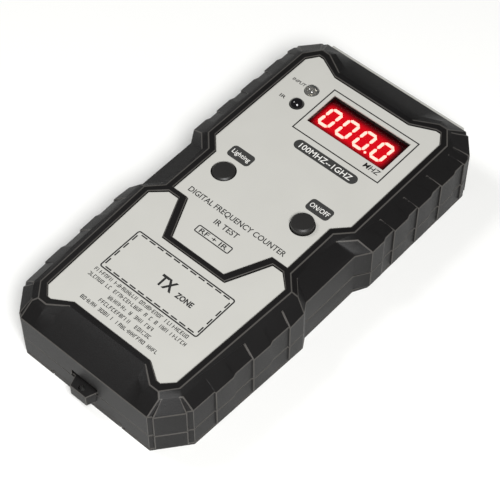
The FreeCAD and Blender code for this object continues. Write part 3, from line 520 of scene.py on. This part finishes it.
# A moulded shell with its outer corners rounded as the tool leaves them. A radius of 0 leaves the
# shape alone. No rounded corner stands past the node's own box.
def softened(node, radius):
    shell = shellOf(node)
    # faces that get the lighter edge colour: part wear, part painted highlight
    wearAndSheen = shell.faces.layers.float.new("edgeWearAndSheen")
    if radius > 0:
        roundCorners(shell, radius, wearAndSheen)
    low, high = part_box(node)
    for vert in shell.verts:
        vert.co = Vector([min(max(vert.co[i], low[i]), high[i]) for i in range(3)])
    bmesh.ops.dissolve_degenerate(shell, edges=shell.edges, dist=rounding["crumb"] * mm)
    creaseEdges(shell, wearAndSheen, radius > 0)
    holder = addToScene(bpy.data.objects.new(node + "Draft", sheetMesh(node, shell)))
    flat = holder.modifiers.new("flat", "WEIGHTED_NORMAL")
    flat.keep_sharp = True
    return settled(holder)


for node, (radius, body, slot, plastic) in softEdges.items():
    addPiece(node + "_moulded", softened(node, radius * mm), finish[plastic], body, [node])
    print("stage: softened", node)

# Screen prints on the labels, as closed raised ink. In mm: how far a print sits in its label, stands
# on it, and how far a second print stands on the first.
ink = {"sunk": 0.01, "thick": 0.02, "second": 0.02}


# a closed flat plate between two heights, from an outline that runs anticlockwise
def addPlate(sheet, loop, low, top):
    below = [sheet.verts.new((x, y, low)) for x, y in loop]
    above = [sheet.verts.new((x, y, top)) for x, y in loop]
    sheet.faces.new(above)
    sheet.faces.new(below[::-1])
    for i in range(len(loop)):
        j = (i + 1) % len(loop)
        sheet.faces.new((below[i], below[j], above[j], above[i]))


# a closed line of even width, between an outer and an inner outline with as many corners
def addBand(sheet, outer, inner, low, top):
    rings = [[sheet.verts.new((x, y, z)) for x, y in loop] for loop, z in
             ((outer, low), (outer, top), (inner, top), (inner, low))]
    for i in range(len(outer)):
        j = (i + 1) % len(outer)
        for k in range(4):
            a, b = rings[k], rings[(k + 1) % 4]
            sheet.faces.new((a[i], a[j], b[j], b[i]))


# corners of a rectangle with rounded ends, anticlockwise, in metres
def roundedBox(middle, wide, high, radius, steps=6):
    loop = []
    for turn, (sx, sy) in enumerate(((1, 1), (-1, 1), (-1, -1), (1, -1))):
        for step in range(steps + 1):
            angle = math.radians(90 * turn + 90 * step / steps)
            loop.append((middle[0] + sx * (wide / 2 - radius) + radius * math.cos(angle),
                         middle[1] + sy * (high / 2 - radius) + radius * math.sin(angle)))
    return loop


# In mm and font units: the smallest inner corner of a frame, how near two corners of a letter join,
# how finely curves are cut, and how bold the three kinds of words are.
lettering = {"least": 0.01, "join": 0.0001, "curve": 3, "plain": 0.012, "reversed": 0.004, "bold": 0.035}


def addFrame(sheet, middle, wide, high, radius, line, low, top):
    inner = roundedBox(middle, wide - 2 * line, high - 2 * line, max(radius - line, lettering["least"] * mm))
    addBand(sheet, roundedBox(middle, wide, high, radius), inner, low, top)


# closed letters of one height and width, standing on a base line, made a mesh before they are placed
def letterMesh(text, weight):
    curve = bpy.data.curves.new("letters", "FONT")
    curve.body = text
    curve.extrude = 0.5
    curve.offset = weight
    curve.resolution_u = lettering["curve"]
    return settled(addToScene(bpy.data.objects.new("letters", curve)))


def addWords(sheet, text, middle, high, wide, low, top, weight=lettering["plain"], slant=0.0):
    capital = max(vert.co.y for vert in letterMesh("H", weight).vertices)
    mesh = letterMesh(text, weight)
    xs = [vert.co.x for vert in mesh.vertices]
    spread, rise = wide / (max(xs) - min(xs)), high / capital
    for vert in mesh.vertices:
        x, y, z = vert.co
        vert.co = (middle[0] - wide / 2 + (x - min(xs)) * spread + slant * y * rise,
                   middle[1] - high / 2 + y * rise, low + (z + 0.5) * (top - low))
    letters = bmesh.new()
    letters.from_mesh(mesh)
    bmesh.ops.remove_doubles(letters, verts=letters.verts, dist=lettering["join"] * mm)
    letters.to_mesh(mesh)
    letters.free()
    sheet.from_mesh(mesh)
    bpy.data.meshes.remove(mesh)


# words by the part that they belong to: text, offset mm from its middle, cap height, width, slant
upperWords = [
    ("display_window", "MHZ", (13.1, -9.3), 2.1, 6.2, 0.12),
    ("input_lamp", "INPUT", (-5.7, 0.3), 1.25, 5.4, 0.0),
    ("ir_receiver", "IR", (-5.8, -0.4), 1.3, 2.3, 0.0),
    ("upper_label", "DIGITAL FREQUENCY COUNTER", (0.0, -26.7), 2.1, 40.7, 0.0),
    ("upper_label", "IR TEST", (-0.3, -31.2), 2.1, 9.8, 0.0),
    ("upper_label", "RF + IR", (-0.65, -37.0), 1.7, 11.4, 0.0),
]
whiteWords = [
    ("display_window", "100MHZ--1GHZ", (-0.05, -16.9), 2.2, 21.6, 0.0),
    ("lighting_cap", "Lighting", (0.0, 8.7), 1.75, 7.3, 0.0),
    ("power_cap", "ON/OFF", (0.0, 8.5), 1.8, 7.6, 0.0),
]
upperFrames = [  # part, offset, width, height, corner, line
    ("display_window", (0.15, -1.7), 36.6, 22.2, 0.05, 0.46),
    ("upper_label", (-0.65, -37.0), 14.5, 3.1, 0.7, 0.4),
]
darkPlates = [  # part, offset, width, height, corner
    ("display_window", (-0.05, -16.9), 26.1, 4.2, 2.05),
    ("lighting_cap", (0.0, 8.5), 9.3, 5.1, 1.4),
    ("power_cap", (0.0, 8.5), 9.3, 5.1, 1.4),
]


def spotOn(part, offset):
    middle = place(part)[2]
    return middle.x + offset[0] * mm, middle.y + offset[1] * mm


labelTop = place("upper_label")[1].z
inkLow, inkTop = labelTop - ink["sunk"] * mm, labelTop + ink["thick"] * mm
overLow, overTop = inkLow + ink["second"] * mm / 2, inkTop + ink["second"] * mm

upper = bmesh.new()
for part, text, offset, high, wide, slant in upperWords:
    addWords(upper, text, spotOn(part, offset), high * mm, wide * mm, inkLow, inkTop, slant=slant)
for part, offset, wide, high, radius, line in upperFrames:
    addFrame(upper, spotOn(part, offset), wide * mm, high * mm, radius * mm, line * mm, inkLow, inkTop)
addPiece("upper_print_dark", sheetMesh("upper_print_dark", upper), finish["ink_dark"], "case")

plates = bmesh.new()
for part, offset, wide, high, radius in darkPlates:
    addPlate(plates, roundedBox(spotOn(part, offset), wide * mm, high * mm, radius * mm), inkLow, inkTop)
addPiece("upper_print_plates", sheetMesh("upper_print_plates", plates), finish["ink_charcoal"], "case")

white = bmesh.new()
for part, text, offset, high, wide, slant in whiteWords:
    addWords(white, text, spotOn(part, offset), high * mm, wide * mm, overLow, overTop,
             weight=lettering["reversed"], slant=slant)
addPiece("upper_print_white", sheetMesh("upper_print_white", white), finish["ink_white"], "case")

# the transmitter zone: a solid frame, dashes inside it and its words, in mm
zone = {"offset": (0.0, 0.75), "size": (41.2, 18.3), "corner": 1.0, "line": 0.48,
        "inset": 1.0, "dash": 2.5, "pitch": 3.3, "dashLine": 0.48, "cornerGap": 0.9,
        "words": (("TX", (0.15, 0.6), 4.2, 6.5), ("ZONE", (8.45, -0.5), 2.0, 6.9))}
lower = bmesh.new()
addFrame(lower, spotOn("lower_label", zone["offset"]), zone["size"][0] * mm, zone["size"][1] * mm,
         zone["corner"] * mm, zone["line"] * mm, inkLow, inkTop)
for text, offset, high, wide in zone["words"]:
    addWords(lower, text, spotOn("lower_label", offset), high * mm, wide * mm, inkLow, inkTop,
             weight=lettering["bold"])
addPiece("lower_print_dark", sheetMesh("lower_print_dark", lower), finish["ink_dark"], "case")
print("stage: label prints")


# What repeats is grown by Geometry Nodes from here on.
# a tree with geometry in and out and named inputs: label -> (socket kind, starting value)
def startTree(name, inputs):
    tree = bpy.data.node_groups.new(name, "GeometryNodeTree")
    tree.interface.new_socket("Geometry", in_out="OUTPUT", socket_type="NodeSocketGeometry")
    tree.interface.new_socket("Geometry", in_out="INPUT", socket_type="NodeSocketGeometry")
    for label, (kind, start) in inputs.items():
        socket = tree.interface.new_socket(label, in_out="INPUT", socket_type=kind)
        if start is not None:
            socket.default_value = start
    return tree, tree.nodes.new("NodeGroupInput").outputs


# the last two steps of every tree: real geometry, then its material
def endTree(tree, geometry, material):
    real = addNode(tree, "GeometryNodeRealizeInstances", {"Geometry": geometry}).outputs[0]
    made = addNode(tree, "GeometryNodeSetMaterial", {"Geometry": real, "Material": material})
    addNode(tree, "NodeGroupOutput", {0: made.outputs[0]})


# copies of a shape on points, each with its own turn if one is given
def copiesOn(tree, points, shape, more=None):
    inputs = {"Points": points, "Instance": shape, **(more or {})}
    return addNode(tree, "GeometryNodeInstanceOnPoints", inputs).outputs[0]


# points in a row from a start, each a step past the last
def pointRow(tree, count, given):
    return addNode(tree, "GeometryNodeMeshLine", {"Count": count, "Start Location": given["Start"],
                                                  "Offset": given["Step"]}, mode="OFFSET").outputs[0]


# a vector with the given x, y and z, as values or other nodes' outputs
def vectorOf(tree, x=0.0, y=0.0, z=0.0):
    return addNode(tree, "ShaderNodeCombineXYZ", {0: x, 1: y, 2: z}).outputs[0]


# runs a tree on some starting points and keeps what it makes as a plain mesh
def grow(name, tree, values, points=()):
    start = bpy.data.meshes.new(name)
    start.from_pydata([tuple(point) for point in points], [], [])
    holder = addToScene(bpy.data.objects.new(name + "Seed", start))
    modifier = holder.modifiers.new("grow", "NODES")
    modifier.node_group = tree
    for item in tree.interface.items_tree:
        if item.in_out == "INPUT" and item.name in values:
            modifier[item.identifier] = values[item.name]
    return settled(holder)


# one straight run of dashes
def dashTree():
    tree, given = startTree("printed_dashes", {
        "Dashes": ("NodeSocketInt", 8), "Start": ("NodeSocketVector", (0, 0, 0)),
        "Step": ("NodeSocketVector", (0.003, 0, 0)),
        "Dash": ("NodeSocketVector", (0.002, 0.0003, 0.00003)),
        "Material": ("NodeSocketMaterial", None)})
    dash = addNode(tree, "GeometryNodeMeshCube", {"Size": given["Dash"]}).outputs[0]
    laid = copiesOn(tree, pointRow(tree, given["Dashes"], given), dash)
    endTree(tree, laid, given["Material"])
    return tree


runs = bmesh.new()
dashing = dashTree()
middle = spotOn("lower_label", zone["offset"])
inkMiddle = (inkLow + inkTop) / 2
inkDeep = inkTop - inkLow
reach = [(zone["size"][axis] - 2 * zone["inset"]) * mm for axis in (0, 1)]
long, thin = zone["dash"] * mm, zone["dashLine"] * mm
for axis in (0, 1):
    length = reach[axis] - 2 * zone["cornerGap"] * mm
    count = round(length / (zone["pitch"] * mm))
    size = (long, thin, inkDeep) if axis == 0 else (thin, long, inkDeep)
    step = [0.0, 0.0, 0.0]
    step[axis] = (length - long) / (count - 1)
    for side in (-1, 1):
        start = [0.0, 0.0, inkMiddle]
        start[axis] = middle[axis] - (length - long) / 2
        start[1 - axis] = middle[1 - axis] + side * reach[1 - axis] / 2
        runs.from_mesh(grow("dashes", dashing, {"Dashes": count, "Start": start, "Step": step, "Dash": size,
                                                "Material": finish["ink_dark"]}))
addPiece("lower_print_dashes", sheetMesh("lower_print_dashes", runs), finish["ink_dark"], "case")


# Lines of small print drawn as plain strokes that spell nothing. Sizes in mm; aside and across are
# shares of the letter height; each stroke has its share of the letters and its seed past the line's.
notes = {
    "height": 1.4, "stroke": 0.23, "letter": 1.08, "gaps": 0.16, "aside": 0.22, "across": 0.5,
    "firstSeed": 3,
    "shares": {"stem": (0.9, 11), "second": (0.5, 12), "top": (0.5, 13), "bar": (0.5, 14),
               "foot": (0.45, 15)},
    "lines": [(-9.85, 40.6), (-12.35, 41.3), (-15.0, 18.8), (-17.6, 21.7), (-20.2, 32.4)],  # offset y, width
}


def smallPrintTree():
    real, whole, vector = "NodeSocketFloat", "NodeSocketInt", "NodeSocketVector"
    tree, given = startTree("small_print_strokes", {
        "Letters": (whole, 40), "Start": (vector, (0, 0, 0)), "Step": (vector, (0.001, 0, 0)),
        "Height": (real, 0.0013), "Stroke": (real, 0.0002), "Thick": (real, 0.00003), "Seed": (whole, 1),
        "Material": ("NodeSocketMaterial", None)})
    high, line, thick = given["Height"], given["Stroke"], given["Thick"]

    # true for a random share of the points
    def chance(share, seed):
        return addNode(tree, "FunctionNodeRandomValue", {"Probability": share, "Seed": seed},
                       data_type="BOOLEAN").outputs[3]

    row = pointRow(tree, given["Letters"], given)
    spots = addNode(tree, "GeometryNodeDeleteGeometry",
                    {"Geometry": row, "Selection": chance(notes["gaps"], given["Seed"])},
                    domain="POINT").outputs[0]
    right = figure(tree, high, notes["aside"])
    left = figure(tree, right, -1.0)
    stem = vectorOf(tree, line, high, thick)
    bar = vectorOf(tree, figure(tree, high, notes["across"]), line, thick)
    upright = addNode(tree, "GeometryNodeMeshCube", {"Size": stem}).outputs[0]
    level = addNode(tree, "GeometryNodeMeshCube", {"Size": bar}).outputs[0]
    top = figure(tree, figure(tree, high, line, "SUBTRACT"), 0.5)
    foot = figure(tree, top, -1.0)
    joined = addNode(tree, "GeometryNodeJoinGeometry")
    kinds = {"stem": (upright, left, 0.0), "second": (upright, right, 0.0), "top": (level, 0.0, top),
             "bar": (level, 0.0, 0.0), "foot": (level, 0.0, foot)}
    for name, (shape, sideways, rise) in kinds.items():
        share, further = notes["shares"][name]
        pick = chance(share, figure(tree, given["Seed"], float(further), "ADD"))
        put = addNode(tree, "GeometryNodeSetPosition", {"Geometry": spots,
                                                        "Offset": vectorOf(tree, sideways, rise)}).outputs[0]
        tree.links.new(copiesOn(tree, put, shape, {"Selection": pick}), joined.inputs[0])
    endTree(tree, joined.outputs[0], given["Material"])
    return tree


strokes = smallPrintTree()
note = bmesh.new()
for seed, (rise, wide) in enumerate(notes["lines"], start=notes["firstSeed"]):
    count = round(wide / notes["letter"])
    x, y = spotOn("lower_label", (-wide / 2, rise))
    note.from_mesh(grow("note", strokes, {
        "Letters": count, "Start": (x, y, inkMiddle), "Step": (wide * mm / count, 0, 0),
        "Height": notes["height"] * mm, "Stroke": notes["stroke"] * mm, "Thick": inkDeep, "Seed": seed,
        "Material": finish["ink_dark"]}))
addPiece("lower_print_notes", sheetMesh("lower_print_notes", note), finish["ink_dark"], "case")
print("stage: dashes and small print")


# screws set at the CAD ones: one turned screw, put on a point at each place
def screwTree():
    tree, given = startTree("set_screws", {
        "Screw": ("NodeSocketObject", None), "Spin": ("NodeSocketFloat", 0.3), "Seed": ("NodeSocketInt", 4),
        "Material": ("NodeSocketMaterial", None)})
    source = addNode(tree, "GeometryNodeObjectInfo", {"Object": given["Screw"]}).outputs["Geometry"]
    spin = addNode(tree, "FunctionNodeRandomValue", {2: 0.0, 3: given["Spin"], "Seed": given["Seed"]},
                   data_type="FLOAT").outputs[1]
    put = copiesOn(tree, given["Geometry"], source, {"Rotation": vectorOf(tree, z=spin)})
    endTree(tree, put, given["Material"])
    return tree


# Both kinds of screw share the head's outline, as (share of radius, share of height), the thread's
# rows per turn, the shank's taper at its tip and how far a cutter stands out of the head in mm.
turned = {"head": ((0.55, 0.0), (0.86, 0.1), (1.0, 0.45), (1.0, 1.0)), "rows": 6, "point": 1.6, "blunt": 0.25,
          "clear": 0.2, "cutCorner": 0.2, "spin": 1.5, "seed": 4, "crease": 35, "sides": 20}
screwLooks = {   # mm
    "case_screws": dict(headRadius=2.6, head=1.5, shank=1.3, long=15.5, pitch=1.0, ridge=0.3,
                        recess=2.9, slot=0.62, deep=0.9, finish="steel_black_oxide"),
    "board_screws": dict(headRadius=2.2, head=1.5, shank=1.1, long=8.0, pitch=0.9, ridge=0.25,
                         recess=2.4, slot=0.55, deep=0.8, finish="steel_tinned"),
}


# radius and height of every point on a screw's side, ring by ring from the head to the tip
def screwRings(look):
    headR, headH, shankR, long = (look[key] * mm for key in ("headRadius", "head", "shank", "long"))
    pitch, ridge = look["pitch"] * mm, look["ridge"] * mm
    rings = [[(headR * wide, headH * high)] * turned["sides"] for wide, high in turned["head"]]
    rows = int((long - headH) / pitch * turned["rows"])
    for row in range(rows + 1):
        z = headH + (long - headH) * row / rows
        taper = min(1.0, (long - z) / (turned["point"] * shankR) + turned["blunt"])
        waves = [abs(((z / pitch - side / turned["sides"]) % 1.0) * 2 - 1) for side in range(turned["sides"])]
        rings.append([((shankR - ridge + ridge * wave) * taper, z) for wave in waves])
    return rings


def roundSolid(rings):
    solid = bmesh.new()
    made = []
    for ring in rings:
        turns = [2 * math.pi * i / len(ring) for i in range(len(ring))]
        made.append([solid.verts.new((r * math.cos(turn), r * math.sin(turn), z))
                     for turn, (r, z) in zip(turns, ring)])
    for a, b in zip(made, made[1:]):
        for i in range(len(a)):
            j = (i + 1) % len(a)
            solid.faces.new((a[i], a[j], b[j], b[i]))
    solid.faces.new(made[0][::-1])
    solid.faces.new(made[-1])
    return solid


# one screw with its head at z 0, shank upwards: domed head, cross recess, rolled thread
def screwObject(look):
    body = addToScene(bpy.data.objects.new("screwBody", sheetMesh("screwBody", roundSolid(screwRings(look)))))
    cutter = bmesh.new()
    long, thin = look["recess"] * mm, look["slot"] * mm
    for wide, high in ((thin, long), (long, thin)):
        bar = roundedBox((0, 0), wide, high, thin * turned["cutCorner"], steps=1)
        addPlate(cutter, bar, -turned["clear"] * mm, look["deep"] * mm)
    tool = addToScene(bpy.data.objects.new("screwTool", sheetMesh("screwTool", cutter)))
    cut = body.modifiers.new("recess", "BOOLEAN")
    cut.operation = "DIFFERENCE"
    cut.solver = "EXACT"
    cut.use_self = True
    cut.object = tool
    mesh = settled(body)
    bpy.data.objects.remove(tool)
    return addToScene(bpy.data.objects.new("screw", mesh))


setting = screwTree()
for node, look in screwLooks.items():
    screw = screwObject(look)
    shell = shellOf(node)
    points = sorted(((low.x + high.x) / 2, (low.y + high.y) / 2, low.z) for low, high in solidBoxes(shell))
    shell.free()
    steel = finish[look["finish"]]
    mesh = grow(node + "_turned", setting, {"Screw": screw, "Spin": turned["spin"], "Seed": turned["seed"],
                                            "Material": steel}, points)
    bpy.data.objects.remove(screw)
    mesh.shade_smooth()
    mesh.set_sharp_from_angle(angle=math.radians(turned["crease"]))
    addPiece(node + "_turned", mesh, steel, "case", [node])
    print("stage: screws", node, len(points))


# enamelled wire wound side by side on the ferrite core; wire radius and corner in mm
winding = {"wire": 0.24, "corner": 1.2, "wireSides": 6, "cornerSteps": 3}


def windingTree():
    real, whole, vector = "NodeSocketFloat", "NodeSocketInt", "NodeSocketVector"
    tree, given = startTree("close_winding", {
        "Turns": (whole, 40), "Start": (vector, (0, 0, 0)), "Step": (vector, (0.0005, 0, 0)),
        "Side": (real, 0.007), "Corner": (real, 0.001), "Wire": (real, 0.00025),
        "Material": ("NodeSocketMaterial", None)})
    square = addNode(tree, "GeometryNodeCurvePrimitiveQuadrilateral", {"Width": given["Side"],
                                                                      "Height": given["Side"]}).outputs[0]
    eased = addNode(tree, "GeometryNodeFilletCurve",
                    {"Curve": square, "Radius": given["Corner"], "Count": winding["cornerSteps"]},
                    mode="POLY").outputs[0]
    section = addNode(tree, "GeometryNodeCurvePrimitiveCircle", {"Resolution": winding["wireSides"],
                                                                 "Radius": given["Wire"]}).outputs[0]
    wire = addNode(tree, "GeometryNodeCurveToMesh", {"Curve": eased, "Profile Curve": section}).outputs[0]
    upright = vectorOf(tree, y=math.radians(90))
    put = copiesOn(tree, pointRow(tree, given["Turns"], given), wire, {"Rotation": upright})
    endTree(tree, put, given["Material"])
    return tree


# The stamped frame inside the clear input lamp: a cup on one post and a thin second post beside it.
# In mm: the cup's radii and height, how far below the dome's top it sits, and the posts' size.
lampFrame = {"cupTop": 1.25, "cupFoot": 0.75, "cupHigh": 1.1, "below": 2.9, "post": 0.7, "aside": 1.3,
             "long": 4.0, "sides": 24, "gap": 0.05, "postCorner": 0.1}
low, high, middle = place("input_lamp")
cupTop = high.z - lampFrame["below"] * mm
cupLow = cupTop - lampFrame["cupHigh"] * mm
apart = lampFrame["aside"] * mm
stamped = bmesh.new()
bmesh.ops.create_cone(stamped, cap_ends=True, segments=lampFrame["sides"], radius1=lampFrame["cupFoot"] * mm,
                      radius2=lampFrame["cupTop"] * mm, depth=lampFrame["cupHigh"] * mm)
bmesh.ops.translate(stamped, verts=stamped.verts,
                    vec=(middle.x - apart / 4, middle.y, (cupLow + cupTop) / 2))
for x, top in ((middle.x - apart / 4, cupLow - lampFrame["gap"] * mm), (middle.x + apart, cupTop)):
    post = roundedBox((x, middle.y), lampFrame["post"] * mm, lampFrame["post"] * mm,
                      lampFrame["postCorner"] * mm, steps=1)
    addPlate(stamped, post, top - lampFrame["long"] * mm, top)
addPiece("input_lamp_frame", sheetMesh("input_lamp_frame", stamped), finish["nickel_plated_stamped"], "case")

low, high, middle = place("pickup_winding")
turns = int((high.x - low.x) / (2 * winding["wire"] * mm))
step = (high.x - low.x) / turns
mesh = grow("pickup_winding_turns", windingTree(), {
    "Turns": turns, "Start": (low.x + step / 2, middle.y, middle.z), "Step": (step, 0, 0),
    "Side": high.z - low.z - 2 * winding["wire"] * mm, "Corner": winding["corner"] * mm,
    "Wire": winding["wire"] * mm, "Material": finish["copper_enamelled_drawn"]})
mesh.shade_smooth()
addPiece("pickup_winding_turns", mesh, finish["copper_enamelled_drawn"], "case",
         ["pickup_winding"])
print("stage: winding", turns, "turns")

# CAD nodes whose shape stays, and their finish
carried = {
    "upper_label": "overlay", "lower_label": "overlay", "display_window": "filter", "display_digits": "lit",
    "display_module": "pbt_black_moulded", "power_plunger": "pbt_black_moulded",
    "lighting_plunger": "pbt_black_moulded", "power_switch": "nylon_white_moulded",
    "lighting_switch": "nylon_white_moulded", "ir_receiver": "lamp_dark", "input_lamp": "lamp_clear",
    "torch_lamp_right": "lamp_clear", "torch_lamp_left": "lamp_clear", "main_board": "board",
    "microcontroller": "chip", "prescaler": "scaler", "regulator": "epoxy_black_moulded",
    "crystal": "nickel_plated_stamped", "resistors": "resistor", "capacitors": "capacitor",
    "pickup_core": "ferrite_sintered",
    "core_clip_right": "nylon_white_moulded", "core_clip_left": "nylon_white_moulded",
    "battery": "jacket",
    "battery_terminals": "nickel_plated_stamped", "battery_snap": "pbt_black_moulded",
    "lead_positive": "pvc_red_extruded", "lead_negative": "pvc_black_extruded",
    "battery_pad": "foam", "door_pad": "foam",
}
for node, name in carried.items():
    paint(nodes[node], finish[name])
print("stage: carried nodes painted")
